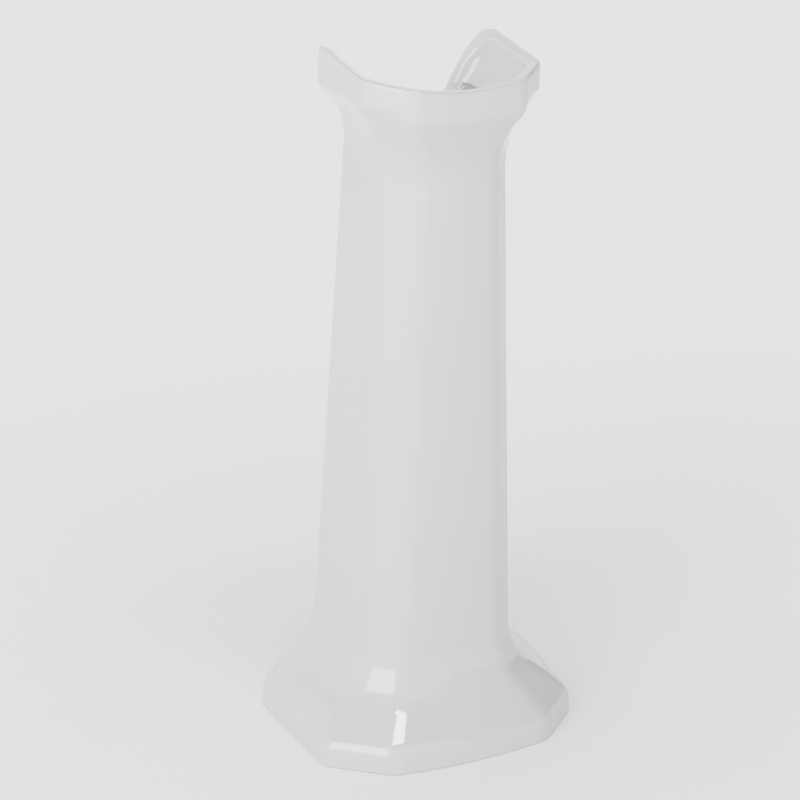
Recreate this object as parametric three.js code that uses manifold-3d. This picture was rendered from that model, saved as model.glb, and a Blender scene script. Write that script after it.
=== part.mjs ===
// Washbasin pedestal: a one-piece hollow casting in vitreous china, with the two sets of floor fixings
// that hold its foot down. Millimetres, +Z up, the front faces -Y.
// The origin is on the floor, at the centre of the foot's overall width and depth.

import * as THREE from 'three';
import { mergeVertices } from 'three/addons/utils/BufferGeometryUtils.js';
import Module from 'manifold-3d';

const wasm = await Module();
wasm.setup();

// ---- driving dimensions of the casting ---------------------------------------------------------

const HEIGHT = 680; // floor to the two rear tips of the crown
const FOOT_WIDTH = 273;
const FOOT_DEPTH = 219.5; // bowed front to flat back
const WALL = 12; // thickness of the china, measured square to its surface
const INSIDE_CORNER = 22; // radius of the two upright rear corners, inside

// A level section is a bowed front face, two chamfers, two sides and a back with rounded corners.
// face: half width of the front face. width: half of the overall width. front: how far the ends of
// the front face stand behind those of the foot. chamfer: depth of a chamfer from front to back.
// bow: how far the middle of the front face stands proud of its ends. corner: radius of the rear
// corners, outside.
const FOOT = { face: 83.5, width: FOOT_WIDTH / 2, front: 0, chamfer: 48, bow: 7.5, corner: 22 };
const COLUMN_LOW = { face: 55.5, width: 80, front: 47, chamfer: 23, bow: 5.5, corner: 20 };
const COLUMN_HIGH = { face: 34, width: 60.5, front: 36, chamfer: 27, bow: 4, corner: 15 };
const CROWN = { face: 55, width: 91.5, front: 14.5, chamfer: 37.5, bow: 4.5, corner: 15 };

// The back leans forward from the foot's upright back to the crown.
const BACK_LEAN = 0.103; // millimetres forward for each millimetre up
const CROWN_DEPTH = 136.5; // the crown's front face ends to its flat back, at the tips

// Upright profile of the foot: plinth, convex shoulder, straight slope and concave sweep.
const FOOT_PROFILE = { start: 13.5, convex: 22, concave: 72, lean: 50 };
// Along its sides the sweep rises towards the back: half way up it, a side runs into the rear corner
// at this angle, so that it stands proud of a straight line.
const SIDE_CROWN = 38;
// Upright profile of the crown, from its level lower edge down to the column. The sweep under the
// rear of the crown is shorter and tighter than the one under its front.
const CROWN_REAR = { start: 32.5, convex: 7, concave: 68, lean: 48 };
const CROWN_CHAMFER = { start: 36, convex: 8, concave: 108, lean: 42 };
const CROWN_FRONT = { start: 45, convex: 18, concave: 85, lean: 43 };

// The rim is a saddle that takes the round underside of a basin.
const RIM_DIP = 25; // rear tips to the middle of the front
const RIM_CROSS_RISE = 12; // middle of the front to the sides
const RIM_CROSS_POWER = 1.6;

// Openings in the back.
const NOTCH_DEPTH = 60; // rear tips to the floor of the waste notch
const NOTCH_FLOOR = 37; // half width of its level floor
const NOTCH_CORNER = 11;
const NOTCH_EASE = 2; // how much fuller its lower corners are than a plain curve
const NOTCH_SIDE = { out: 16, up: 33 }; // handle of the side's curve above the lower corner
const NOTCH_TIP = { inwards: 14, down: 2 }; // and its handle at the rear tip
const NOTCH_STRETCH = 1.05; // how much taller the notch is drawn at its front end than at the back
const BRIDGE = 60; // height of the web left between the notch and the pipe slot
const SLOT_TOP = 40; // half width of the pipe slot under the bridge
const SLOT_FLOOR = 56; // and at the floor
const SLOT_CORNER = 18;
const TIE_HOLE = 9; // diameter of the two holes beside the notch
const TIE_HOLE_X = 60;
const TIE_HOLE_DROP = 55; // below the rear tips

// Lugs inside the foot, for the floor screws.
const LUG_X = 58; // centre of the screw
const LUG_BACK = 32; // centre of the screw to the foot's flat back
const LUG_UNDERSIDE = 30;
const LUG_THICKNESS = 14;
const LUG_FRONT = 20; // lug material in front of the screw's centre
const LUG_INSIDE = 17; // and on the side of the slot

// ---- driving dimensions of the floor fixings -----------------------------------------------------

const GAP = 0.3; // between pieces that touch
const SCREW_SHANK = 6;
const SCREW_FLATS = 10; // hexagon head, across flats
const SCREW_HEAD = 4.2;
const SCREW_TIP = 7; // length of the point
const SCREW_CLEAR = 2; // the point stays this far above the floor until the screw is driven
const WASHER_DIAMETER = 16;
const WASHER_THICKNESS = 1.6;
const BUSH_WALL = 1.8;
const BUSH_FLANGE = 18;
const BUSH_FLANGE_THICKNESS = 2;
const CAP_WALL = 1.2;
const CAP_ROOM = 0.6; // between the cap's inside and the screw head's corners
const RUNNING = 0.4; // radial clearance of a shank in its hole, and of the bush in the lug

// ---- materials -----------------------------------------------------------------------------------

const china = new THREE.MeshStandardMaterial({ color: 0xf1f2f2, roughness: 0.08, metalness: 0 });
const zinc = new THREE.MeshStandardMaterial({ color: 0xb9bcc0, roughness: 0.35, metalness: 1 });
const nylon = new THREE.MeshStandardMaterial({ color: 0xe9e6dc, roughness: 0.5, metalness: 0 });
const plastic = new THREE.MeshStandardMaterial({ color: 0xf3f3f1, roughness: 0.3, metalness: 0 });

// ---- solids ----------------------------------------------------------------------------------------

const CURVE_STEPS = 6; // straight steps along each curve of a level outline
const ROUND_SIDES = 32; // flats around the turned pieces and the holes they sit in
const HOLE_SIDES = 20; // and around the small plain holes
const SHANK_SIDES = 24;

// A closed three.js geometry as a manifold solid.
function solidOf(geometry) {
  const bare = geometry.clone();
  bare.deleteAttribute('normal');
  bare.deleteAttribute('uv');
  const merged = mergeVertices(bare, 1e-4);
  return new wasm.Manifold(new wasm.Mesh({
    numProp: 3,
    vertProperties: new Float32Array(merged.attributes.position.array),
    triVerts: new Uint32Array(merged.index.array),
  }));
}

// A manifold solid as a three.js geometry.
function geometryOf(solid) {
  const mesh = solid.getMesh();
  const geometry = new THREE.BufferGeometry();
  geometry.setAttribute('position', new THREE.BufferAttribute(mesh.vertProperties, 3));
  geometry.setIndex(new THREE.BufferAttribute(mesh.triVerts, 1));
  geometry.computeVertexNormals();
  return geometry;
}

// A closed solid through level rings with equal numbers of points, listed from the bottom up.
function loft(rings) {
  const count = rings[0].points.length;
  const positions = rings.flatMap(({ z, points }) => points.flatMap((point) => [point.x, point.y, z]));
  const index = [];
  for (let ring = 0; ring < rings.length - 1; ring += 1) {
    for (let side = 0; side < count; side += 1) {
      const low = ring * count + side;
      const lowNext = ring * count + (side + 1) % count;
      index.push(low, lowNext, lowNext + count);
      index.push(low, lowNext + count, low + count);
    }
  }
  const top = (rings.length - 1) * count;
  for (const [a, b, c] of THREE.ShapeUtils.triangulateShape(rings[0].points, [])) {
    index.push(a, c, b);
  }
  for (const [a, b, c] of THREE.ShapeUtils.triangulateShape(rings.at(-1).points, [])) {
    index.push(top + a, top + b, top + c);
  }
  const geometry = new THREE.BufferGeometry();
  geometry.setAttribute('position', new THREE.Float32BufferAttribute(positions, 3));
  geometry.setIndex(index);
  return geometry;
}

// A solid whose outline is drawn in X and Z and pushed from yStart to yEnd.
function pushedAlongY(shape, yStart, yEnd) {
  const options = { depth: yEnd - yStart, bevelEnabled: false, curveSegments: 2 * CURVE_STEPS };
  const geometry = new THREE.ExtrudeGeometry(shape, options);
  geometry.rotateX(Math.PI / 2);
  geometry.translate(0, yEnd, 0);
  return geometry;
}

// A solid of revolution about +Z from [radius, z] pairs that go round anticlockwise.
function turned(profile) {
  const points = profile.map(([radius, z]) => new THREE.Vector2(radius, z));
  const geometry = new THREE.LatheGeometry([...points, points[0]], ROUND_SIDES);
  geometry.rotateX(Math.PI / 2);
  return geometry;
}

// ---- upright profiles ------------------------------------------------------------------------------

// A profile leaves an upright edge through a convex arc, runs down a straight slope and comes back to
// upright through a concave arc. share is 1 at the edge and 0 at the column; distance is measured
// from the edge towards the column.
function sweep({ start, convex, concave, lean }, reach) {
  const angle = THREE.MathUtils.degToRad(lean);
  const turn = 1 - Math.cos(angle);
  const slope = (reach - (convex + concave) * turn) / Math.sin(angle);
  const slopeStart = start + convex * Math.sin(angle);
  const slopeEnd = slopeStart + slope * Math.cos(angle);
  const end = slopeEnd + concave * Math.sin(angle);
  const out = (distance) => {
    if (distance <= start) return reach;
    if (distance >= end) return 0;
    if (distance < slopeStart) return reach - convex + Math.sqrt(convex ** 2 - (distance - start) ** 2);
    if (distance > slopeEnd) return concave - Math.sqrt(concave ** 2 - (end - distance) ** 2);
    return concave * turn + (slopeEnd - distance) * Math.tan(angle);
  };
  return { end, share: (distance) => out(distance) / reach };
}

const footSweep = sweep(FOOT_PROFILE, FOOT.width - COLUMN_LOW.width);
const crownReach = CROWN.width - COLUMN_HIGH.width;
const rearSweep = sweep(CROWN_REAR, crownReach);
const chamferSweep = sweep(CROWN_CHAMFER, crownReach);
const frontSweep = sweep(CROWN_FRONT, crownReach);

// ---- level sections --------------------------------------------------------------------------------

const FRONT_Y = -FOOT_DEPTH / 2 + FOOT.bow; // ends of the foot's front face
const BACK_Y = FOOT_DEPTH / 2;
const CROWN_BACK_Y = FRONT_Y + CROWN.front + CROWN_DEPTH;

function mix(from, to, share) {
  return from + (to - from) * share;
}

// y of the flat back at height z.
function backAt(z) {
  return Math.min(BACK_Y, CROWN_BACK_Y + BACK_LEAN * (HEIGHT - z));
}

// One size of the section at height z, under the front, the chamfers or the rear of the crown.
function sizeAt(name, z, crownSweep) {
  const column = mix(COLUMN_LOW[name], COLUMN_HIGH[name], z / HEIGHT);
  const withFoot = mix(column, FOOT[name], footSweep.share(z));
  return mix(withFoot, CROWN[name], crownSweep.share(HEIGHT - z));
}

// The corner points of the outside at height z.
function cornersAt(z) {
  const spread = footSweep.share(z);
  return {
    face: sizeAt('face', z, frontSweep),
    front: FRONT_Y + sizeAt('front', z, frontSweep),
    bow: sizeAt('bow', z, frontSweep),
    width: sizeAt('width', z, chamferSweep),
    chamferEnd: FRONT_Y + sizeAt('front', z, chamferSweep) + sizeAt('chamfer', z, chamferSweep),
    crown: THREE.MathUtils.degToRad(4 * SIDE_CROWN * spread * (1 - spread)),
    rearWidth: sizeAt('width', z, rearSweep),
    back: backAt(z),
    corner: sizeAt('corner', z, rearSweep),
  };
}

// The corner points of the inside at height z: the outside moved in by the wall, which measures more
// along a level line where the surface leans.
function insideCornersAt(z) {
  const here = cornersAt(z);
  const step = 1;
  const above = cornersAt(z + step);
  const level = (name) => WALL * Math.hypot(1, (above[name] - here[name]) / step);
  const mitre = Math.tan(Math.PI / 8);
  return {
    face: here.face - level('front') * mitre,
    front: here.front + level('front'),
    bow: here.bow,
    width: here.width - level('width'),
    chamferEnd: here.chamferEnd + level('width') * mitre,
    crown: here.crown,
    rearWidth: here.rearWidth - level('rearWidth'),
    back: here.back - WALL,
    corner: INSIDE_CORNER,
  };
}

// The closed outline through those corner points, anticlockwise from the left end of the front face.
function outline({ face, front, bow, width, chamferEnd, crown, rearWidth, back, corner }) {
  const cornerX = rearWidth - corner;
  const cornerY = back - corner;
  const endX = cornerX + corner * Math.cos(crown);
  const endY = cornerY + corner * Math.sin(crown);
  const third = (endY - chamferEnd) / 3;
  const proud = third * Math.tan(crown);
  const nearX = mix(width, endX, 1 / 3) + proud / 2;
  const farX = endX + proud;
  const shape = new THREE.Shape();
  shape.moveTo(-face, front);
  shape.quadraticCurveTo(0, front - 2 * bow, face, front);
  shape.lineTo(width, chamferEnd);
  shape.bezierCurveTo(nearX, chamferEnd + third, farX, endY - third, endX, endY);
  shape.absarc(cornerX, cornerY, corner, crown, Math.PI / 2);
  shape.absarc(-cornerX, cornerY, corner, Math.PI / 2, Math.PI - crown);
  shape.bezierCurveTo(-farX, endY - third, -nearX, chamferEnd + third, -width, chamferEnd);
  return shape.getPoints(CURVE_STEPS);
}

// Heights of the rings: close together where the profile bends, far apart along the column.
function ringHeights(bottom, top) {
  const spaced = (from, to, count) => {
    return Array.from({ length: count }, (_, step) => mix(from, to, step / count));
  };
  const crownEdge = HEIGHT - CROWN_REAR.start;
  const crownEnd = HEIGHT - frontSweep.end;
  const shoulderEnd = FOOT_PROFILE.start + FOOT_PROFILE.convex;
  return [
    bottom,
    ...spaced(FOOT_PROFILE.start, shoulderEnd, 6),
    ...spaced(shoulderEnd, footSweep.end, 9),
    ...spaced(footSweep.end, crownEnd, 5),
    ...spaced(crownEnd, crownEdge, 16),
    crownEdge,
    top,
  ];
}

// ---- the casting -------------------------------------------------------------------------------------

const ABOVE = 20; // how far cutting solids run past the faces they cut

function outsideForm() {
  return solidOf(loft(ringHeights(0, HEIGHT).map((z) => ({ z, points: outline(cornersAt(z)) }))));
}

function insideForm() {
  const heights = ringHeights(-ABOVE, HEIGHT + ABOVE);
  return solidOf(loft(heights.map((z) => ({ z, points: outline(insideCornersAt(z)) }))));
}

// Height of the rim over a point of the plan.
function rimAt(x, y) {
  const tipY = CROWN_BACK_Y - CROWN.corner;
  const chamferY = FRONT_Y + CROWN.front + CROWN.chamfer;
  const across = RIM_CROSS_RISE * (Math.abs(x) / CROWN.width) ** RIM_CROSS_POWER;
  const backwards = (RIM_DIP - RIM_CROSS_RISE) * Math.max(0, y - chamferY) / (tipY - chamferY);
  return HEIGHT - RIM_DIP + across + backwards;
}

const RIM_STEPS_ACROSS = 44;
const RIM_STEPS_BACKWARDS = 20;

// Everything above the rim.
function aboveRim() {
  const block = new THREE.BoxGeometry(FOOT_WIDTH, FOOT_DEPTH, ABOVE, RIM_STEPS_ACROSS, RIM_STEPS_BACKWARDS);
  const position = block.attributes.position;
  for (let i = 0; i < position.count; i += 1) {
    const [x, y, z] = [position.getX(i), position.getY(i), position.getZ(i)];
    position.setZ(i, z < 0 ? rimAt(x, y) : HEIGHT + ABOVE);
  }
  return solidOf(block);
}

// The notch in the back of the crown, which the basin's waste passes through.
function wasteNotch() {
  const floor = HEIGHT - NOTCH_DEPTH;
  const shoulder = NOTCH_FLOOR + NOTCH_CORNER;
  const shoulderZ = floor + NOTCH_CORNER;
  const eased = shoulder - NOTCH_EASE;
  const tip = CROWN.width;
  const sideX = shoulder + NOTCH_SIDE.out;
  const sideZ = shoulderZ + NOTCH_SIDE.up;
  const tipX = tip - NOTCH_TIP.inwards;
  const tipZ = HEIGHT - NOTCH_TIP.down;
  const shape = new THREE.Shape();
  shape.moveTo(-NOTCH_FLOOR, floor);
  shape.lineTo(NOTCH_FLOOR, floor);
  shape.quadraticCurveTo(eased, floor, shoulder, shoulderZ);
  shape.bezierCurveTo(sideX, sideZ, tipX, tipZ, tip, HEIGHT);
  shape.lineTo(tip + ABOVE, HEIGHT);
  shape.lineTo(tip + ABOVE, HEIGHT + ABOVE);
  shape.lineTo(-tip - ABOVE, HEIGHT + ABOVE);
  shape.lineTo(-tip - ABOVE, HEIGHT);
  shape.lineTo(-tip, HEIGHT);
  shape.bezierCurveTo(-tipX, tipZ, -sideX, sideZ, -shoulder, shoulderZ);
  shape.quadraticCurveTo(-eased, floor, -NOTCH_FLOOR, floor);
  const frontEnd = CROWN_BACK_Y - WALL - INSIDE_CORNER;
  const notch = pushedAlongY(shape, frontEnd, CROWN_BACK_Y + ABOVE);
  const position = notch.attributes.position;
  for (let i = 0; i < position.count; i += 1) {
    if (position.getY(i) < CROWN_BACK_Y) {
      position.setZ(i, mix(floor, position.getZ(i), NOTCH_STRETCH));
    }
  }
  return solidOf(notch);
}

// The tall slot in the back, for the pipes and the floor screws.
function pipeSlot() {
  const top = HEIGHT - NOTCH_DEPTH - BRIDGE;
  const taper = (SLOT_FLOOR - SLOT_TOP) / top;
  const cornerHalf = SLOT_TOP + SLOT_CORNER * taper;
  const below = SLOT_FLOOR + ABOVE * taper;
  const shape = new THREE.Shape();
  shape.moveTo(-below, -ABOVE);
  shape.lineTo(below, -ABOVE);
  shape.lineTo(cornerHalf, top - SLOT_CORNER);
  shape.quadraticCurveTo(SLOT_TOP, top, SLOT_TOP - SLOT_CORNER, top);
  shape.lineTo(SLOT_CORNER - SLOT_TOP, top);
  shape.quadraticCurveTo(-SLOT_TOP, top, -cornerHalf, top - SLOT_CORNER);
  return solidOf(pushedAlongY(shape, backAt(top) - WALL - INSIDE_CORNER, BACK_Y + ABOVE));
}

// One of the round holes beside the notch, right through the back.
function tieHole(side) {
  const length = 2 * (WALL + INSIDE_CORNER);
  const hole = new THREE.CylinderGeometry(TIE_HOLE / 2, TIE_HOLE / 2, length, HOLE_SIDES);
  hole.translate(side * TIE_HOLE_X, CROWN_BACK_Y, HEIGHT - TIE_HOLE_DROP);
  return solidOf(hole);
}

// One lug, grown out of the side and the back of the foot.
function lug(side) {
  const low = LUG_X - LUG_INSIDE;
  const back = BACK_Y - WALL / 2;
  const front = BACK_Y - LUG_BACK - LUG_FRONT;
  const block = new THREE.BoxGeometry(FOOT_WIDTH / 2 - low, back - front, LUG_THICKNESS);
  const middle = (FOOT_WIDTH / 2 + low) / 2;
  block.translate(side * middle, (back + front) / 2, LUG_UNDERSIDE + LUG_THICKNESS / 2);
  return solidOf(block);
}

function lugHole(side) {
  const radius = bushRadius + RUNNING;
  const hole = new THREE.CylinderGeometry(radius, radius, 2 * LUG_THICKNESS, ROUND_SIDES);
  hole.rotateX(Math.PI / 2);
  hole.translate(side * LUG_X, BACK_Y - LUG_BACK, LUG_UNDERSIDE + LUG_THICKNESS / 2);
  return solidOf(hole);
}

function casting() {
  const outside = outsideForm();
  let body = outside.subtract(insideForm());
  body = body.subtract(pipeSlot());
  for (const side of [-1, 1]) {
    body = body.add(lug(side).intersect(outside));
    body = body.subtract(lugHole(side));
    body = body.subtract(tieHole(side));
  }
  return geometryOf(body.subtract(wasteNotch()).subtract(aboveRim()));
}

// ---- the floor fixings, each drawn about its screw's axis with z = 0 on top of the lug --------------

const shankRadius = SCREW_SHANK / 2;
const boreRadius = shankRadius + RUNNING;
const bushRadius = boreRadius + BUSH_WALL;
const washerSeat = GAP + BUSH_FLANGE_THICKNESS + GAP;
const headSeat = washerSeat + WASHER_THICKNESS + GAP;

function bush() {
  return turned([
    [boreRadius, -LUG_THICKNESS],
    [bushRadius, -LUG_THICKNESS],
    [bushRadius, GAP],
    [BUSH_FLANGE / 2, GAP],
    [BUSH_FLANGE / 2, GAP + BUSH_FLANGE_THICKNESS],
    [boreRadius, GAP + BUSH_FLANGE_THICKNESS],
  ]);
}

function washer() {
  return turned([
    [boreRadius, washerSeat],
    [WASHER_DIAMETER / 2, washerSeat],
    [WASHER_DIAMETER / 2, washerSeat + WASHER_THICKNESS],
    [boreRadius, washerSeat + WASHER_THICKNESS],
  ]);
}

function screw() {
  const tip = SCREW_CLEAR - LUG_UNDERSIDE - LUG_THICKNESS;
  const shank = new THREE.LatheGeometry([
    new THREE.Vector2(0, tip),
    new THREE.Vector2(shankRadius, tip + SCREW_TIP),
    new THREE.Vector2(shankRadius, headSeat + SCREW_HEAD / 2),
    new THREE.Vector2(0, headSeat + SCREW_HEAD / 2),
  ], SHANK_SIDES);
  shank.rotateX(Math.PI / 2);
  const cornerRadius = SCREW_FLATS / Math.sqrt(3);
  const head = new THREE.CylinderGeometry(cornerRadius, cornerRadius, SCREW_HEAD, 6);
  head.rotateX(Math.PI / 2);
  head.translate(0, 0, headSeat + SCREW_HEAD / 2);
  return geometryOf(solidOf(shank).add(solidOf(head)));
}

// A domed cap over the screw's head, open underneath.
function cap() {
  const inside = SCREW_FLATS / Math.sqrt(3) + CAP_ROOM;
  const outside = inside + CAP_WALL;
  const ceiling = headSeat + SCREW_HEAD + CAP_ROOM;
  const crown = ceiling + CAP_WALL;
  const edge = 2 * CAP_WALL;
  const rounding = [30, 60].map((degrees) => {
    const angle = THREE.MathUtils.degToRad(degrees);
    return [outside - edge + edge * Math.cos(angle), crown - edge + edge * Math.sin(angle)];
  });
  return turned([
    [0, ceiling],
    [inside, ceiling],
    [inside, headSeat],
    [outside, headSeat],
    [outside, crown - edge],
    ...rounding,
    [outside - edge, crown],
    [0, crown],
  ]);
}

// ---- the assembly --------------------------------------------------------------------------------------

function piece(name, geometry, material) {
  const mesh = new THREE.Mesh(geometry, material);
  mesh.name = name;
  return mesh;
}

function floorFixing(side, place) {
  const fixing = new THREE.Group();
  fixing.add(piece(`lug_bush_${place}`, bush(), nylon));
  fixing.add(piece(`floor_washer_${place}`, washer(), zinc));
  fixing.add(piece(`floor_screw_${place}`, screw(), zinc));
  fixing.add(piece(`screw_cap_${place}`, cap(), plastic));
  fixing.position.set(side * LUG_X, BACK_Y - LUG_BACK, LUG_UNDERSIDE + LUG_THICKNESS);
  return fixing;
}

const pedestal = new THREE.Group();
pedestal.name = 'washbasin_pedestal';
pedestal.add(piece('pedestal_casting', casting(), china));
pedestal.add(floorFixing(-1, 'left'));
pedestal.add(floorFixing(1, 'right'));

export default pedestal;
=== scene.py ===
import math

import bmesh
import bpy
import numpy as np
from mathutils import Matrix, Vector


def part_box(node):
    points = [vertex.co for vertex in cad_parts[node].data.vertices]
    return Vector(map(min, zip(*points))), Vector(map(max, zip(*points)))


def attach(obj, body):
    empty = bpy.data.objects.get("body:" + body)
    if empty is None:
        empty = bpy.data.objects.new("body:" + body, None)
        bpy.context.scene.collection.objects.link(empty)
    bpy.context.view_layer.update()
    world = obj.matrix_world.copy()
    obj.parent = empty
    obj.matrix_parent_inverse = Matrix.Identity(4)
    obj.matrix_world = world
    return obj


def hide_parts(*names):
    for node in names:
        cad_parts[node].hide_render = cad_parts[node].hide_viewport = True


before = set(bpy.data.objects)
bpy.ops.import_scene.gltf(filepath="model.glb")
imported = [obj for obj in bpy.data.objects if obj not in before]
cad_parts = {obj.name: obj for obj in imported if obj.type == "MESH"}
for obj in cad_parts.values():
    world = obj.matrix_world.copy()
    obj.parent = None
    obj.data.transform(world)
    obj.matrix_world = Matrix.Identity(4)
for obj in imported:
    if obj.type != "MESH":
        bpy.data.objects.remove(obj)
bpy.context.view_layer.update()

MM = 0.001  # one millimetre, in metres

# ---- sizes of the casting, in millimetres, as the CAD has them ---------------------------------

HEIGHT = 680.0
FOOT_WIDTH = 273.0
FOOT_DEPTH = 219.5
WALL = 12.0
INSIDE_CORNER = 22.0
SIDE_CROWN = 38.0
BACK_LEAN = 0.103
CROWN_DEPTH = 136.5

FOOT = {"face": 83.5, "width": FOOT_WIDTH / 2, "front": 0.0, "chamfer": 48.0, "bow": 7.5, "corner": 22.0}
COLUMN_LOW = {"face": 55.5, "width": 80.0, "front": 47.0, "chamfer": 23.0, "bow": 5.5, "corner": 20.0}
COLUMN_HIGH = {"face": 34.0, "width": 60.5, "front": 36.0, "chamfer": 27.0, "bow": 4.0, "corner": 15.0}
CROWN = {"face": 55.0, "width": 91.5, "front": 14.5, "chamfer": 37.5, "bow": 4.5, "corner": 15.0}

FOOT_PROFILE = (13.5, 22.0, 72.0, 50.0)  # start, convex radius, concave radius, lean
CROWN_REAR = (32.5, 7.0, 68.0, 48.0)
CROWN_CHAMFER = (36.0, 8.0, 108.0, 42.0)
CROWN_FRONT = (45.0, 18.0, 85.0, 43.0)

RIM_DIP = 25.0
RIM_CROSS_RISE = 12.0
RIM_CROSS_POWER = 1.6
NOTCH_DEPTH = 60.0
NOTCH_FLOOR = 37.0
NOTCH_CORNER = 11.0
NOTCH_EASE = 2.0  # how much fuller its lower corners are
NOTCH_SIDE = (16.0, 33.0)  # handle of its side above the lower corner: outwards, up
NOTCH_TIP = (14.0, 2.0)  # and at the rear tip: inwards, down
NOTCH_STRETCH = 1.05
BRIDGE = 60.0
SLOT_TOP = 40.0
SLOT_FLOOR = 56.0
SLOT_CORNER = 18.0
TIE_HOLE = 9.0  # diameter
TIE_HOLE_X = 60.0
TIE_HOLE_DROP = 55.0
LUG_X = 58.0
LUG_BACK = 32.0
LUG_UNDERSIDE = 30.0
LUG_THICKNESS = 14.0
LUG_FRONT = 20.0
LUG_INSIDE = 17.0
LUG_HOLE = 5.6  # radius

FRONT_Y = -FOOT_DEPTH / 2 + FOOT["bow"]
BACK_Y = FOOT_DEPTH / 2
CROWN_BACK_Y = FRONT_Y + CROWN["front"] + CROWN_DEPTH

# How much the glaze rounds each kind of edge, in millimetres.
ROUND_ARRIS = 5.0
ROUND_INSIDE = 6.0
ROUND_RIM = 3.6
ROUND_NOTCH = 4.5
ROUND_SLOT = 3.5
ROUND_HOLE = 1.5
ROUND_LUG = 3.0
ROUND_FOOT = 1.6
INSIDE_SPREAD = 13.0  # how far up and down the inside form is averaged

GRID = 2.0  # spacing of the sampling grid, in millimetres


# ---- the casting's form as a field: negative inside the china, in millimetres ------------------

def round_max(a, b, radius):
    """The greater of two distances, with the edge between them rounded."""
    outside = np.hypot(np.maximum(a + radius, 0), np.maximum(b + radius, 0)) - radius
    return np.minimum(np.maximum(a, b), -radius) + np.maximum(outside + radius, 0)


def round_min(a, b, radius):
    return -round_max(-a, -b, radius)


def mix(low, high, share):
    return low + (high - low) * share


def sweep(profile, reach):
    """Share of the reach at each distance from the edge: 1 at the edge, 0 at the column."""
    start, convex, concave, lean = profile
    angle = math.radians(lean)
    turn = 1 - math.cos(angle)
    slope = (reach - (convex + concave) * turn) / math.sin(angle)
    slope_start = start + convex * math.sin(angle)
    slope_end = slope_start + slope * math.cos(angle)
    end = slope_end + concave * math.sin(angle)

    def share(distance):
        d = np.clip(distance, start, end)
        upper = reach - convex + np.sqrt(np.maximum(convex**2 - (d - start) ** 2, 0))
        lower = concave - np.sqrt(np.maximum(concave**2 - (end - d) ** 2, 0))
        middle = concave * turn + (slope_end - d) * math.tan(angle)
        out = np.where(d < slope_start, upper, np.where(d > slope_end, lower, middle))
        return out / reach

    return share


FOOT_SHARE = sweep(FOOT_PROFILE, FOOT["width"] - COLUMN_LOW["width"])
CROWN_REACH = CROWN["width"] - COLUMN_HIGH["width"]
REAR_SHARE = sweep(CROWN_REAR, CROWN_REACH)
CHAMFER_SHARE = sweep(CROWN_CHAMFER, CROWN_REACH)
FRONT_SHARE = sweep(CROWN_FRONT, CROWN_REACH)


def size_at(name, z, crown_share):
    column = mix(COLUMN_LOW[name], COLUMN_HIGH[name], z / HEIGHT)
    with_foot = mix(column, FOOT[name], FOOT_SHARE(z))
    return mix(with_foot, CROWN[name], crown_share(HEIGHT - z))


def back_at(z):
    return np.minimum(BACK_Y, CROWN_BACK_Y + BACK_LEAN * (HEIGHT - z))


TABLE_STEP = 0.5
TABLE_MARGIN = 20  # how far the tables run past the floor and the rear tips
TABLE_Z = np.arange(-TABLE_MARGIN, HEIGHT + TABLE_MARGIN, TABLE_STEP)


def outside_table():
    z = TABLE_Z
    spread = FOOT_SHARE(z)
    return {
        "face": size_at("face", z, FRONT_SHARE),
        "front": FRONT_Y + size_at("front", z, FRONT_SHARE),
        "bow": size_at("bow", z, FRONT_SHARE),
        "width": size_at("width", z, CHAMFER_SHARE),
        "chamfer_end": FRONT_Y + size_at("front", z, CHAMFER_SHARE) + size_at("chamfer", z, CHAMFER_SHARE),
        "crown": np.radians(4 * SIDE_CROWN * spread * (1 - spread)),
        "rear_width": size_at("width", z, REAR_SHARE),
        "back": back_at(z),
        "corner": size_at("corner", z, REAR_SHARE),
    }


def inside_table(outside):
    def level(name):
        return WALL * np.hypot(1, np.gradient(outside[name], TABLE_STEP))

    mitre = math.tan(math.pi / 8)
    return {
        "face": outside["face"] - level("front") * mitre,
        "front": outside["front"] + level("front"),
        "bow": outside["bow"],
        "width": outside["width"] - level("width"),
        "chamfer_end": outside["chamfer_end"] + level("width") * mitre,
        "crown": outside["crown"],
        "rear_width": outside["rear_width"] - level("rear_width"),
        "back": outside["back"] - WALL,
        "corner": np.full_like(TABLE_Z, INSIDE_CORNER),
    }


def softened(table, spread):
    """The sizes averaged over neighbouring heights, as casting slip rounds an inside surface."""
    reach = np.arange(-3 * spread, 3 * spread + TABLE_STEP, TABLE_STEP)
    weights = np.exp(-((reach / spread) ** 2) / 2)
    weights /= weights.sum()
    pad = len(reach) // 2
    return {
        name: np.convolve(np.pad(values, pad, mode="edge"), weights, mode="valid")
        for name, values in table.items()
    }


OUTSIDE = outside_table()
INSIDE = softened(inside_table(OUTSIDE), INSIDE_SPREAD)


def at_height(table, z):
    return {name: np.interp(z, TABLE_Z, values) for name, values in table.items()}


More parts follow.
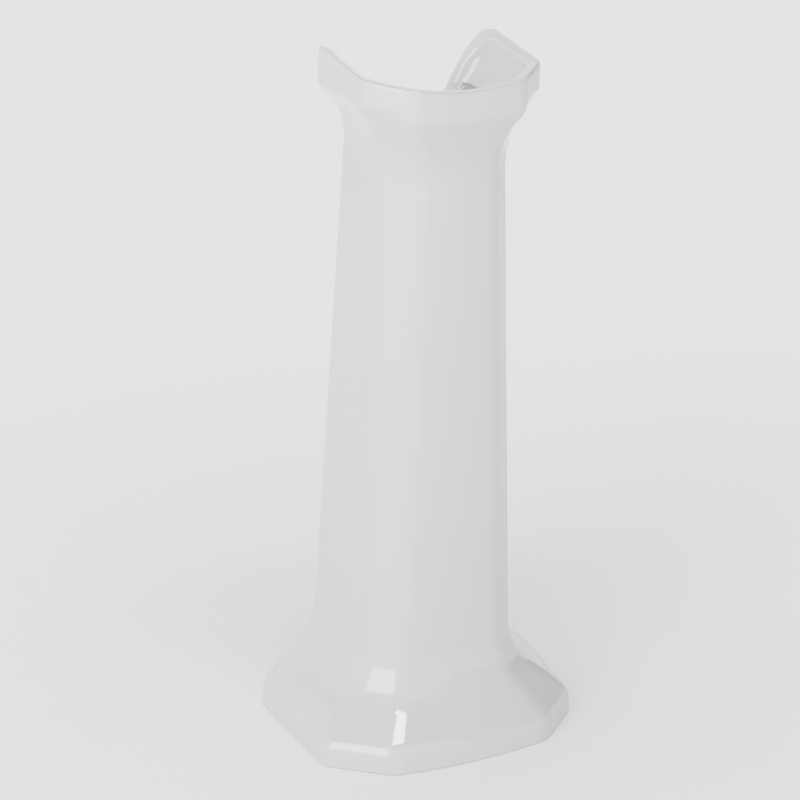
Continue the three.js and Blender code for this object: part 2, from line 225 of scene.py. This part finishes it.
def section(x, y, s, arris):
    """Distance to a level section: bowed front, two chamfers, two crowned sides, round rear corners."""
    across = np.abs(x)
    share = np.minimum(across / s["face"], 1.2)
    bowed = s["front"] - s["bow"] * (1 - share**2)
    front = (bowed - y) / np.sqrt(1 + (2 * s["bow"] * share / s["face"]) ** 2)
    run, depth = s["width"] - s["face"], s["chamfer_end"] - s["front"]
    chamfer = ((across - s["face"]) * depth - (y - s["front"]) * run) / np.hypot(run, depth)
    corner_x, corner_y = s["rear_width"] - s["corner"], s["back"] - s["corner"]
    end_x = corner_x + s["corner"] * np.cos(s["crown"])
    end_y = corner_y + s["corner"] * np.sin(s["crown"])
    third = (end_y - s["chamfer_end"]) / 3
    slope = np.tan(s["crown"])
    near_x = mix(s["width"], end_x, 1 / 3) + third * slope / 2
    far_x = end_x + third * slope
    t = np.minimum((y - s["chamfer_end"]) / (3 * third), 1)
    u = np.maximum(t, 0)
    v = 1 - u
    side_x = v**3 * s["width"] + 3 * v * v * u * near_x + 3 * v * u * u * far_x + u**3 * end_x
    start_lean = (near_x - s["width"]) / third
    side_x = side_x + np.minimum(t, 0) * 3 * third * start_lean
    lean = (v * v * (near_x - s["width"]) + 2 * v * u * (far_x - near_x) + u * u * (end_x - far_x)) / third
    side = (across - side_x) / np.sqrt(1 + lean**2)
    corner = np.hypot(np.maximum(across - corner_x, 0), np.maximum(y - corner_y, 0)) - s["corner"]
    side = np.where(y > end_y, corner, side)
    return round_max(round_max(front, chamfer, arris), side, arris)


def box_distance(offsets, radius):
    """Distance to a box from the offsets past each of its faces, with its edges rounded."""
    near = offsets[0]
    for offset in offsets[1:]:
        near = round_max(near, offset, radius)
    return near


NOTCH_CORNER_STEPS = 8
NOTCH_SIDE_STEPS = 16


def notch_curve():
    """The notch's edge on the back plane, as (|x|, z) points from the middle outwards."""
    floor = HEIGHT - NOTCH_DEPTH
    shoulder = NOTCH_FLOOR + NOTCH_CORNER
    shoulder_z = floor + NOTCH_CORNER
    tip = CROWN["width"]
    points = [(-10.0, floor), (NOTCH_FLOOR, floor)]
    for t in np.linspace(0, 1, NOTCH_CORNER_STEPS + 1)[1:]:
        a, b, c = (1 - t) ** 2, 2 * t * (1 - t), t * t
        across = a * NOTCH_FLOOR + b * (shoulder - NOTCH_EASE) + c * shoulder
        points.append((across, floor + c * NOTCH_CORNER))
    handles = [
        (shoulder, shoulder_z),
        (shoulder + NOTCH_SIDE[0], shoulder_z + NOTCH_SIDE[1]),
        (tip - NOTCH_TIP[0], HEIGHT - NOTCH_TIP[1]),
        (tip, HEIGHT),
    ]
    for t in np.linspace(0, 1, NOTCH_SIDE_STEPS + 1)[1:]:
        weights = ((1 - t) ** 3, 3 * t * (1 - t) ** 2, 3 * t * t * (1 - t), t**3)
        points.append(tuple(sum(w * h[k] for w, h in zip(weights, handles)) for k in (0, 1)))
    points.append((tip + 40, HEIGHT + 6))
    return np.array(points)


NOTCH = notch_curve()


def notch_distance(x, y, z):
    """Distance from the notch's edge: negative inside the notch."""
    floor = HEIGHT - NOTCH_DEPTH
    front_end = CROWN_BACK_Y - WALL - INSIDE_CORNER
    back_end = CROWN_BACK_Y + 20
    stretch = mix(NOTCH_STRETCH, 1, np.clip((y - front_end) / (back_end - front_end), 0, 1))
    px, pz = np.abs(x), floor + (z - floor) / stretch
    nearest = np.full(np.shape(px), 1e9)
    below = np.zeros(np.shape(px), bool)
    for (ax, az), (bx, bz) in zip(NOTCH[:-1], NOTCH[1:]):
        dx, dz = bx - ax, bz - az
        t = np.clip(((px - ax) * dx + (pz - az) * dz) / (dx * dx + dz * dz), 0, 1)
        away = np.hypot(px - ax - t * dx, pz - az - t * dz)
        closer = away < nearest
        nearest = np.where(closer, away, nearest)
        below = np.where(closer, (px - ax) * dz - (pz - az) * dx > 0, below)
    return np.where(below, nearest, -nearest)


def rim_distance(x, y, z):
    """Height above the rim, measured square to it."""
    tip_y = CROWN_BACK_Y - CROWN["corner"]
    chamfer_y = FRONT_Y + CROWN["front"] + CROWN["chamfer"]
    share = np.abs(x) / CROWN["width"]
    rise = (RIM_DIP - RIM_CROSS_RISE) / (tip_y - chamfer_y)
    behind = (y - chamfer_y) / 2 + np.sqrt(((y - chamfer_y) / 2) ** 2 + 4)
    top = HEIGHT - RIM_DIP + RIM_CROSS_RISE * share**RIM_CROSS_POWER + rise * behind
    lean = RIM_CROSS_RISE * RIM_CROSS_POWER / CROWN["width"] * share ** (RIM_CROSS_POWER - 1)
    return (z - top) / np.sqrt(1 + lean**2)


def casting_field(x, y, z):
    outside = section(x, y, at_height(OUTSIDE, z), ROUND_ARRIS)
    inside = section(x, y, at_height(INSIDE, z), ROUND_INSIDE)
    body = np.maximum(outside, -inside)

    slot_top = HEIGHT - NOTCH_DEPTH - BRIDGE
    taper = (SLOT_FLOOR - SLOT_TOP) / slot_top
    beside = (np.abs(x) - SLOT_TOP - (slot_top - z) * taper) / math.hypot(1, taper)
    slot_start = CROWN_BACK_Y + BACK_LEAN * (HEIGHT - slot_top) - WALL - INSIDE_CORNER
    slot = np.maximum(round_max(beside, z - slot_top, SLOT_CORNER), slot_start - y)
    body = round_max(body, -slot, ROUND_SLOT)

    hole_x = np.abs(x) - LUG_X
    hole_y = y - (BACK_Y - LUG_BACK)
    lug = box_distance(
        [
            LUG_UNDERSIDE - z,
            z - LUG_UNDERSIDE - LUG_THICKNESS,
            -hole_x - LUG_INSIDE,
            -hole_y - LUG_FRONT,
            y - (BACK_Y - WALL / 2),
        ],
        ROUND_LUG,
    )
    lug = np.maximum(lug, outside + 1)
    body = round_min(body, lug, ROUND_LUG)
    lug_hole = np.maximum(np.hypot(hole_x, hole_y) - LUG_HOLE, z - LUG_UNDERSIDE - 2 * LUG_THICKNESS)
    body = round_max(body, -lug_hole, ROUND_HOLE)

    tie = np.hypot(np.abs(x) - TIE_HOLE_X, z - (HEIGHT - TIE_HOLE_DROP)) - TIE_HOLE / 2
    tie = np.maximum(tie, CROWN_BACK_Y - 2 * CROWN["corner"] - y)
    body = round_max(body, -tie, ROUND_HOLE)

    notch = notch_distance(x, y, z)
    notch = np.maximum(notch, CROWN_BACK_Y - WALL - INSIDE_CORNER - y)
    body = round_max(body, -notch, ROUND_NOTCH)
    body = round_max(body, rim_distance(x, y, z), ROUND_RIM)
    return round_max(body, -z, ROUND_FOOT)


# ---- turning a field into a mesh -----------------------------------------------------------------

def sampled(field, low, high, spacing):
    """The field on a grid, one level at a time."""
    counts = [int(math.ceil((high[k] - low[k]) / spacing)) + 1 for k in range(3)]
    axes = [low[k] + spacing * np.arange(counts[k]) for k in range(3)]
    x, y = np.meshgrid(axes[0], axes[1], indexing="ij")
    values = np.empty([len(a) for a in axes], np.float32)
    for k, z in enumerate(axes[2]):
        values[:, :, k] = field(x, y, np.full_like(x, z))
    return values


def surface_nets(values, low, spacing):
    """One vertex in each grid cell that the surface crosses, and a quad round each crossed grid edge."""
    solid = values < 0
    cells = tuple(n - 1 for n in values.shape)
    total = np.zeros(cells + (3,), np.float32)
    count = np.zeros(cells, np.int16)
    offsets = [(i, j) for i in (0, 1) for j in (0, 1)]

    def window(array, axis, i, j):
        """The edges along an axis that lie at one of the four places round each cell."""
        others = [k for k in range(3) if k != axis]
        where = [None, None, None]
        where[axis] = slice(0, cells[axis])
        where[others[0]] = slice(i, i + cells[others[0]])
        where[others[1]] = slice(j, j + cells[others[1]])
        return array[tuple(where)]

    crossings = []
    for axis in range(3):
        start = [slice(None)] * 3
        end = [slice(None)] * 3
        start[axis] = slice(0, -1)
        end[axis] = slice(1, None)
        a, b = values[tuple(start)], values[tuple(end)]
        crossed = solid[tuple(start)] != solid[tuple(end)]
        share = np.where(crossed, a / np.where(crossed, a - b, 1), 0).astype(np.float32)
        crossings.append((crossed, solid[tuple(start)]))
        others = [k for k in range(3) if k != axis]
        for i, j in offsets:
            hit = window(crossed, axis, i, j)
            count += hit
            total[..., axis] += window(share, axis, i, j)
            total[..., others[0]] += hit * i
            total[..., others[1]] += hit * j
    used = count > 0
    index = np.full(cells, -1, np.int64)
    index[used] = np.arange(used.sum())
    where = np.argwhere(used)
    points = np.array(low) + spacing * (where + total[used] / count[used][:, None])

    quads = []
    for axis in range(3):
        crossed, solid_first = crossings[axis]
        one, two = [(axis + 1) % 3, (axis + 2) % 3]
        inner = [slice(None)] * 3
        inner[one] = slice(1, -1)
        inner[two] = slice(1, -1)
        at = np.argwhere(crossed[tuple(inner)])
        at[:, one] += 1
        at[:, two] += 1
        facing = solid_first[tuple(at.T)]
        ring = []
        for i, j in ((1, 1), (0, 1), (0, 0), (1, 0)):
            cell = at.copy()
            cell[:, one] -= i
            cell[:, two] -= j
            ring.append(index[tuple(cell.T)])
        ring = np.stack(ring, 1)
        quads.append(np.where(facing[:, None], ring, ring[:, ::-1]))
    return points, np.concatenate(quads)


def slopes(field, points, step=0.05):
    """The field and its gradient at each point."""
    x, y, z = points.T
    grad = np.stack(
        [
            field(x + step, y, z) - field(x - step, y, z),
            field(x, y + step, z) - field(x, y - step, z),
            field(x, y, z + step) - field(x, y, z - step),
        ],
        1,
    ) / (2 * step)
    return field(x, y, z), grad


def settled(field, points, reach):
    """The points moved onto the surface, and the surface's normals there."""
    start = points.copy()
    for _ in range(4):
        value, grad = slopes(field, points)
        square = np.maximum((grad**2).sum(1), 0.1)
        points = points - grad * (value / square)[:, None]
        moved = points - start
        far = np.linalg.norm(moved, axis=1, keepdims=True)
        points = start + moved * np.minimum(1, reach / np.maximum(far, 1e-9))
    grad = slopes(field, points, 0.3)[1]
    return points, grad / np.maximum(np.linalg.norm(grad, axis=1, keepdims=True), 1e-9)


def mesh_object(name, points, faces, normals=None):
    """A smooth-shaded object from points in metres."""
    mesh = bpy.data.meshes.new(name)
    faces = np.asarray(faces)
    mesh.vertices.add(len(points))
    mesh.vertices.foreach_set("co", np.asarray(points, np.float32).ravel())
    mesh.loops.add(faces.size)
    mesh.loops.foreach_set("vertex_index", faces.astype(np.int32).ravel())
    mesh.polygons.add(len(faces))
    mesh.polygons.foreach_set("loop_start", np.arange(0, faces.size, faces.shape[1], dtype=np.int32))
    mesh.update(calc_edges=True)
    mesh.validate()
    mesh.shade_smooth()
    if normals is not None:
        mesh.normals_split_custom_set_from_vertices(normals.tolist())
    obj = bpy.data.objects.new(name, mesh)
    bpy.context.scene.collection.objects.link(obj)
    return obj


GRID_LIFT = 0.7  # keeps the floor's plane off the grid's levels


def casting():
    low = (-FOOT_WIDTH / 2 - 3 * GRID / 2, -FOOT_DEPTH / 2 - 2 * GRID, -2 * GRID + GRID_LIFT)
    high = (-low[0], FOOT_DEPTH / 2 + 2 * GRID, HEIGHT + 2 * GRID)
    points, faces = surface_nets(sampled(casting_field, low, high, GRID), low, GRID)
    points, normals = settled(casting_field, points, GRID)
    return mesh_object("china_casting", points * MM, faces, normals)


# ---- the floor fixings ---------------------------------------------------------------------------

# Sizes in millimetres; the overall sizes come from the frame.
BORE = 3.4  # radius of the holes in washer and bush
BUSH_RADIUS = 5.2
BUSH_FLANGE = 2.0  # thickness
BUSH_ROUNDING = 0.5
WASHER_ROUNDING = 0.35
CAP_WALL = 1.2
CAP_EDGE = 2.4  # radius of the cap's upper edge
CAP_EDGE_START = 2.2  # the upright side ends this far below the top

def lathe(name, profile, centre, segments=64):
    """A closed solid of revolution about Z from (radius, z) pairs in millimetres."""
    mesh = bmesh.new()
    rings = []
    for radius, z in profile:
        if radius < 1e-6:
            rings.append([mesh.verts.new((0, 0, z * MM))])
            continue
        ring = []
        for k in range(segments):
            angle = 2 * math.pi * k / segments
            across, back = radius * math.cos(angle), radius * math.sin(angle)
            ring.append(mesh.verts.new((across * MM, back * MM, z * MM)))
        rings.append(ring)
    closed = profile[0][0] > 1e-6
    pairs = list(zip(rings, rings[1:] + rings[:1])) if closed else list(zip(rings, rings[1:]))
    for one, two in pairs:
        for k in range(segments):
            n = (k + 1) % segments
            corners = [one[k % len(one)], one[n % len(one)], two[n % len(two)], two[k % len(two)]]
            corners = list(dict.fromkeys(corners))
            if len(corners) > 2:
                mesh.faces.new(corners)
    bmesh.ops.recalc_face_normals(mesh, faces=mesh.faces)
    return finished(name, mesh, centre)


def finished(name, mesh, centre, angle=40):
    data = bpy.data.meshes.new(name)
    mesh.to_mesh(data)
    mesh.free()
    data.shade_smooth()
    data.set_sharp_from_angle(angle=math.radians(angle))
    obj = bpy.data.objects.new(name, data)
    obj.location = centre
    bpy.context.scene.collection.objects.link(obj)
    return obj


def rounded(profile, radius, steps=4):
    """The profile with each corner replaced by a short arc, as far as its neighbours leave room."""
    out = []
    count = len(profile)
    for k, corner in enumerate(profile):
        before, after = Vector(profile[k - 1]), Vector(profile[(k + 1) % count])
        here = Vector(corner)
        if corner[0] < 1e-6:
            out.append(tuple(here))
            continue
        reach = min(radius, (before - here).length * 0.45, (after - here).length * 0.45)
        start = here + (before - here).normalized() * reach
        end = here + (after - here).normalized() * reach
        for step in range(steps + 1):
            t = step / steps
            point = start * (1 - t) ** 2 + here * 2 * t * (1 - t) + end * t * t
            out.append(tuple(point))
    return out


def node_centre(node):
    low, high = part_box(node)
    return (low + high) / 2


def ring_profile(node, hole):
    """Outer and inner radii and the two heights of a washer-like node, in millimetres about its axis."""
    low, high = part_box(node)
    outer = (high.x - low.x) / 2 / MM
    half = (high.z - low.z) / 2 / MM
    return [(hole, -half), (outer, -half), (outer, half), (hole, half)]


def washer(place):
    node = f"floor_washer_{place}"
    profile = rounded(ring_profile(node, BORE), WASHER_ROUNDING)
    return lathe(f"zinc_washer_{place}", profile, node_centre(node)), node


def bush(place):
    node = f"lug_bush_{place}"
    low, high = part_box(node)
    half = (high.z - low.z) / 2 / MM
    flange = (high.x - low.x) / 2 / MM
    under = half - BUSH_FLANGE
    profile = [
        (BORE, -half),
        (BUSH_RADIUS, -half),
        (BUSH_RADIUS, under),
        (flange, under),
        (flange, half),
        (BORE, half),
    ]
    return lathe(f"nylon_bush_{place}", rounded(profile, BUSH_ROUNDING), node_centre(node)), node


def cap(place):
    node = f"screw_cap_{place}"
    low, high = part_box(node)
    half = (high.z - low.z) / 2 / MM
    outer = (high.x - low.x) / 2 / MM
    inner, ceiling = outer - CAP_WALL, half - CAP_WALL
    side_top = half - CAP_EDGE_START
    profile = [(0, ceiling), (inner, ceiling), (inner, -half), (outer, -half), (outer, side_top)]
    edge_x, edge_z = outer - CAP_EDGE, half - CAP_EDGE
    for degrees in range(10, 90, 10):
        angle = math.radians(degrees)
        profile.append((edge_x + CAP_EDGE * math.cos(angle), edge_z + CAP_EDGE * math.sin(angle)))
    profile += [(edge_x, half), (0, half)]
    return lathe(f"cover_cap_{place}", profile, node_centre(node)), node


THREAD_PITCH = 2.6
THREAD_DEPTH = 0.75
THREAD_STEP = 0.25  # height between the rings that draw the thread
SCREW_RADIUS = 2.95
SCREW_HEAD = 4.2
SCREW_POINT = 7.0
SCREW_NECK = 14  # plain length under the head
HEAD_UNDERCUT = 0.25
HEAD_CHAMFER = 0.9
HEAD_TOP = 0.93  # radius of the top's circle, as a share of the half width across flats
SHANK_SIDES = 40
HEAD_SIDES = 3 * SHANK_SIDES


def stack_rings(mesh, rings):
    """A closed skin through rings with equal numbers of vertices, listed from the bottom up."""
    count = len(rings[0])
    for one, two in zip(rings, rings[1:]):
        for k in range(count):
            n = (k + 1) % count
            mesh.faces.new([one[k], one[n], two[n], two[k]])
    mesh.faces.new(rings[0][::-1])
    mesh.faces.new(rings[-1])


def threaded_rings(mesh, neck):
    """The shank from its point up to the neck, with a thread that fades out below the head."""
    rings = []
    for z in np.arange(0, neck - 0.01, THREAD_STEP):
        ring = []
        taper = min(1.0, z / SCREW_POINT)
        fade = min(1.0, max(0.0, (neck - SCREW_NECK - z) / 2))
        for k in range(SHANK_SIDES):
            angle = 2 * math.pi * k / SHANK_SIDES
            phase = (z / THREAD_PITCH - k / SHANK_SIDES) % 1
            cut = THREAD_DEPTH * min(1, max(0, 2.2 * abs(2 * phase - 1) - 0.35)) * fade
            r = max(0.12, (SCREW_RADIUS - cut) * taper) * MM
            ring.append(mesh.verts.new((r * math.cos(angle), r * math.sin(angle), z * MM)))
        rings.append(ring)
    return rings


def hexagon_rings(mesh, flats, bottom, top):
    """The head: a hexagon whose upper and lower corners are turned off."""
    corner = flats / math.cos(math.pi / 6)
    levels = (
        (bottom, flats),
        (bottom + HEAD_UNDERCUT, corner),
        (top - HEAD_CHAMFER, corner),
        (top, flats * HEAD_TOP),
    )
    rings = []
    for z, limit in levels:
        ring = []
        for k in range(HEAD_SIDES):
            angle = 2 * math.pi * k / HEAD_SIDES
            side = (angle + math.pi / 6) % (math.pi / 3) - math.pi / 6
            r = min(flats / math.cos(side), limit) * MM
            ring.append(mesh.verts.new((r * math.cos(angle), r * math.sin(angle), z * MM)))
        rings.append(ring)
    return rings


def screw(place):
    """A coach screw: pointed threaded shank, plain neck, hexagon head with a chamfered top."""
    node = f"floor_screw_{place}"
    low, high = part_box(node)
    centre = Vector(((low.x + high.x) / 2, (low.y + high.y) / 2, low.z))
    length = (high.z - low.z) / MM
    neck = length - SCREW_HEAD
    flats = (high.x - low.x) / 2 / MM
    mesh = bmesh.new()
    stack_rings(mesh, threaded_rings(mesh, neck))
    stack_rings(mesh, hexagon_rings(mesh, flats, neck, length))
    bmesh.ops.recalc_face_normals(mesh, faces=mesh.faces)
    return finished(f"coach_screw_{place}", mesh, centre, 30), node


# ---- materials -----------------------------------------------------------------------------------

class Material:
    """A node material built up from a Principled shader and small procedural parts."""

    def __init__(self, name, color, roughness, metallic=0.0):
        self.material = bpy.data.materials.new(name)
        self.material.use_nodes = True
        self.nodes = self.material.node_tree.nodes
        self.links = self.material.node_tree.links
        self.shader = self.nodes["Principled BSDF"]
        self.shader.inputs["Metallic"].default_value = metallic
        self.shader.inputs["Roughness"].default_value = roughness
        self.shader.inputs["Base Color"].default_value = (*color, 1)
        self.where = self.nodes.new("ShaderNodeTexCoord").outputs["Object"]

    def noise(self, scale, detail=3.0):
        node = self.nodes.new("ShaderNodeTexNoise")
        node.inputs["Scale"].default_value = scale
        node.inputs["Detail"].default_value = detail
        self.links.new(self.where, node.inputs["Vector"])
        return node.outputs["Fac"]

    def between(self, value, low, high, start=0.3, end=0.7):
        node = self.nodes.new("ShaderNodeMapRange")
        node.inputs["From Min"].default_value = start
        node.inputs["From Max"].default_value = end
        node.inputs["To Min"].default_value = low
        node.inputs["To Max"].default_value = high
        self.links.new(value, node.inputs["Value"])
        return node.outputs["Result"]

    def colours(self, value, low, high):
        node = self.nodes.new("ShaderNodeMix")
        node.data_type = "RGBA"
        node.inputs["A"].default_value = (*low, 1)
        node.inputs["B"].default_value = (*high, 1)
        self.links.new(value, node.inputs["Factor"])
        return node.outputs["Result"]

    def bump(self, height, strength, distance, below=None):
        node = self.nodes.new("ShaderNodeBump")
        node.inputs["Strength"].default_value = strength
        node.inputs["Distance"].default_value = distance
        self.links.new(height, node.inputs["Height"])
        if below is not None:
            self.links.new(below, node.inputs["Normal"])
        return node.outputs["Normal"]

    def use(self, socket, value):
        self.links.new(value, self.shader.inputs[socket])


def glazed_china():
    """White glaze over fine biscuit: glossy, faintly uneven, bare and rougher on the foot's lower edge."""
    made = Material("glazed_china", (0.8, 0.8, 0.8), 0.08)
    parts = made.nodes.new("ShaderNodeSeparateXYZ")
    made.links.new(made.where, parts.inputs["Vector"])
    glazed = made.between(parts.outputs["Z"], 0.0, 1.0, 0.0008, 0.0022)
    cloud = made.between(made.noise(7.0, 4.0), 0.0, 1.0)
    tint = made.colours(cloud, (0.435, 0.444, 0.449), (0.455, 0.460, 0.460))
    bare = made.colours(made.noise(900.0), (0.39, 0.37, 0.345), (0.43, 0.42, 0.395))
    whole = made.nodes.new("ShaderNodeMix")
    whole.data_type = "RGBA"
    made.links.new(glazed, whole.inputs["Factor"])
    made.links.new(bare, whole.inputs["A"])
    made.links.new(tint, whole.inputs["B"])
    made.use("Base Color", whole.outputs["Result"])
    shine = made.between(made.noise(40.0, 4.0), 0.045, 0.085)
    rough = made.nodes.new("ShaderNodeMix")
    rough.data_type = "FLOAT"
    rough.inputs["A"].default_value = 0.75
    made.links.new(glazed, rough.inputs["Factor"])
    made.links.new(shine, rough.inputs["B"])
    made.use("Roughness", rough.outputs["Result"])
    waves = made.bump(made.noise(22.0, 1.0), 0.2, 0.0005)
    peel = made.bump(made.noise(420.0, 1.0), 0.06, 0.00008, waves)
    made.use("Normal", peel)
    made.shader.inputs["IOR"].default_value = 1.5
    made.shader.inputs["Coat Weight"].default_value = 0.25
    made.shader.inputs["Coat Roughness"].default_value = 0.03
    return made.material


def zinc_plate():
    made = Material("zinc_plate", (0.7, 0.71, 0.73), 0.32, 1.0)
    made.use("Base Color", made.colours(made.noise(900.0), (0.60, 0.62, 0.66), (0.76, 0.76, 0.76)))
    made.use("Roughness", made.between(made.noise(2600.0), 0.24, 0.42))
    made.use("Normal", made.bump(made.noise(3200.0, 2.0), 0.15, 0.00005))
    return made.material


def natural_nylon():
    made = Material("natural_nylon", (0.85, 0.83, 0.76), 0.45)
    made.use("Base Color", made.colours(made.noise(300.0), (0.82, 0.80, 0.72), (0.87, 0.85, 0.79)))
    made.use("Roughness", made.between(made.noise(1500.0), 0.38, 0.52))
    made.use("Normal", made.bump(made.noise(2500.0), 0.1, 0.00004))
    made.shader.inputs["Subsurface Weight"].default_value = 0.2
    made.shader.inputs["Subsurface Radius"].default_value = (0.002, 0.002, 0.0015)
    made.shader.inputs["Subsurface Scale"].default_value = 0.5
    return made.material


def cap_plastic():
    made = Material("cap_plastic", (0.87, 0.87, 0.85), 0.25)
    made.use("Base Color", made.colours(made.noise(200.0), (0.84, 0.84, 0.82), (0.88, 0.88, 0.87)))
    made.use("Roughness", made.between(made.noise(1800.0), 0.2, 0.32))
    made.use("Normal", made.bump(made.noise(1400.0), 0.08, 0.00004))
    return made.material


# ---- assembling the visual model -----------------------------------------------------------------

def place(obj, material, slot, *nodes):
    obj.data.materials.append(material)
    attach(obj, "root")
    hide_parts(*nodes)
    return obj


china = casting()
place(china, glazed_china(), "china", "pedestal_casting")
ZINC, NYLON, PLASTIC = zinc_plate(), natural_nylon(), cap_plastic()
for which in ("left", "right"):
    for maker, material, slot in (
        (bush, NYLON, "nylon"),
        (washer, ZINC, "zinc"),
        (screw, ZINC, "zinc"),
        (cap, PLASTIC, "cap_plastic"),
    ):
        made, node = maker(which)
        place(made, material, slot, node)


# ---- floor, light and camera -----------------------------------------------------------------------

# Sizes of the studio, in metres.
SWEEP_LEVEL = 5.0  # radius of the level floor
SWEEP_BEND = 2.5
SWEEP_TOP = 7.0
SWEEP_DROP = 0.0004  # the floor lies this far under the object
BEND_STEPS = 16


def studio_floor():
    """A pale round sweep: a level floor that curves up into a wall on every side. It glows faintly,
    more so away from the object: painted light that makes it read as a bright backdrop, with painted shade
    where the glow dims round the object's base."""
    line = [(0.6, 0.0), (SWEEP_LEVEL, 0.0)]
    for k in range(1, BEND_STEPS + 1):
        angle = math.pi / 2 * k / BEND_STEPS
        line.append((SWEEP_LEVEL + SWEEP_BEND * math.sin(angle), SWEEP_BEND - SWEEP_BEND * math.cos(angle)))
    line.append((SWEEP_LEVEL + SWEEP_BEND, SWEEP_TOP))
    mesh = bmesh.new()
    around = 96
    middle = mesh.verts.new((0, 0, 0))
    rings = []
    for radius, up in line:
        turns = [2 * math.pi * k / around for k in range(around)]
        rings.append([mesh.verts.new((radius * math.cos(t), radius * math.sin(t), up)) for t in turns])
    for k in range(around):
        n = (k + 1) % around
        mesh.faces.new([middle, rings[0][k], rings[0][n]])
        for one, two in zip(rings, rings[1:]):
            mesh.faces.new([one[k], two[k], two[n], one[n]])
    floor = finished("studio_floor", mesh, (0, 0, -SWEEP_DROP), 80)
    made = Material("sweep_painted_glow_and_shade", (0.9, 0.9, 0.9), 0.6)
    made.use("Base Color", made.colours(made.noise(6.0), (0.88, 0.88, 0.88), (0.9, 0.9, 0.9)))
    made.use("Roughness", made.between(made.noise(80.0), 0.55, 0.7))
    reach = made.nodes.new("ShaderNodeVectorMath")
    reach.operation = "LENGTH"
    made.links.new(made.where, reach.inputs[0])
    # Painted shade and painted light: the floor glows dimly near the object and brightly farther out,
    # standing in for a soft shadow round the base.
    made.use("Emission Strength", made.between(reach.outputs["Value"], 0.1, 1.35, 0.15, 1.3))
    made.shader.inputs["Emission Color"].default_value = (1, 1, 1, 1)
    floor.data.materials.append(made.material)


def towards(place_at, aim):
    """The rotation that turns the -Z side of something at place_at to the point aim."""
    return (Vector(aim) - Vector(place_at)).to_track_quat("-Z", "Y").to_euler()


def dark_felt():
    made = Material("dark_felt", (0.04, 0.04, 0.04), 0.9)
    made.use("Base Color", made.colours(made.noise(60.0), (0.035, 0.035, 0.035), (0.05, 0.05, 0.05)))
    return made.material


def flag(name, place_at, aim, size, material):
    """A dark panel that keeps the sweep's light off one side."""
    mesh = bmesh.new()
    half, rise = size[0] / 2, size[1] / 2
    corners = ((-half, -rise), (half, -rise), (half, rise), (-half, rise))
    mesh.faces.new([mesh.verts.new((x, y, 0)) for x, y in corners])
    data = bpy.data.meshes.new(name)
    mesh.to_mesh(data)
    mesh.free()
    panel = bpy.data.objects.new(name, data)
    panel.location = place_at
    panel.rotation_euler = towards(place_at, aim)
    data.materials.append(material)
    bpy.context.scene.collection.objects.link(panel)


def area_light(name, place_at, aim, size, power):
    data = bpy.data.lights.new(name, "AREA")
    data.shape = "RECTANGLE"
    data.size, data.size_y = size
    data.energy = power
    light = bpy.data.objects.new(name, data)
    light.location = place_at
    light.rotation_euler = towards(place_at, aim)
    bpy.context.scene.collection.objects.link(light)


studio_floor()
MIDDLE = (0, 0, 0.35)
area_light("top_softbox", (-0.25, -1.35, 3.3), MIDDLE, (1.5, 0.45), 125)
area_light("left_softbox", (-3.2, -2.0, 1.5), MIDDLE, (1.8, 2.4), 240)
area_light("rear_softbox", (2.2, 3.0, 1.5), MIDDLE, (0.7, 2.0), 12)
FELT = dark_felt()
flag("front_flag", (2.6, -2.2, 1.7), MIDDLE, (3.8, 2.2), FELT)
flag("side_flag", (4.0, 0.8, 1.7), MIDDLE, (3.8, 3.2), FELT)

world = bpy.data.worlds.new("pale_world")
world.use_nodes = True
world.node_tree.nodes["Background"].inputs["Color"].default_value = (0.95, 0.97, 1.0, 1)
world.node_tree.nodes["Background"].inputs["Strength"].default_value = 0.12
bpy.context.scene.world = world

camera_data = bpy.data.cameras.new("camera")
camera_data.lens = 114.1
camera_data.sensor_width = 36
camera = bpy.data.objects.new("camera", camera_data)
camera.location = (-1.0262, -2.03245, 1.1667)
camera.rotation_euler = (math.radians(69.94), 0, math.radians(-26.17))
bpy.context.scene.collection.objects.link(camera)
bpy.context.scene.camera = camera
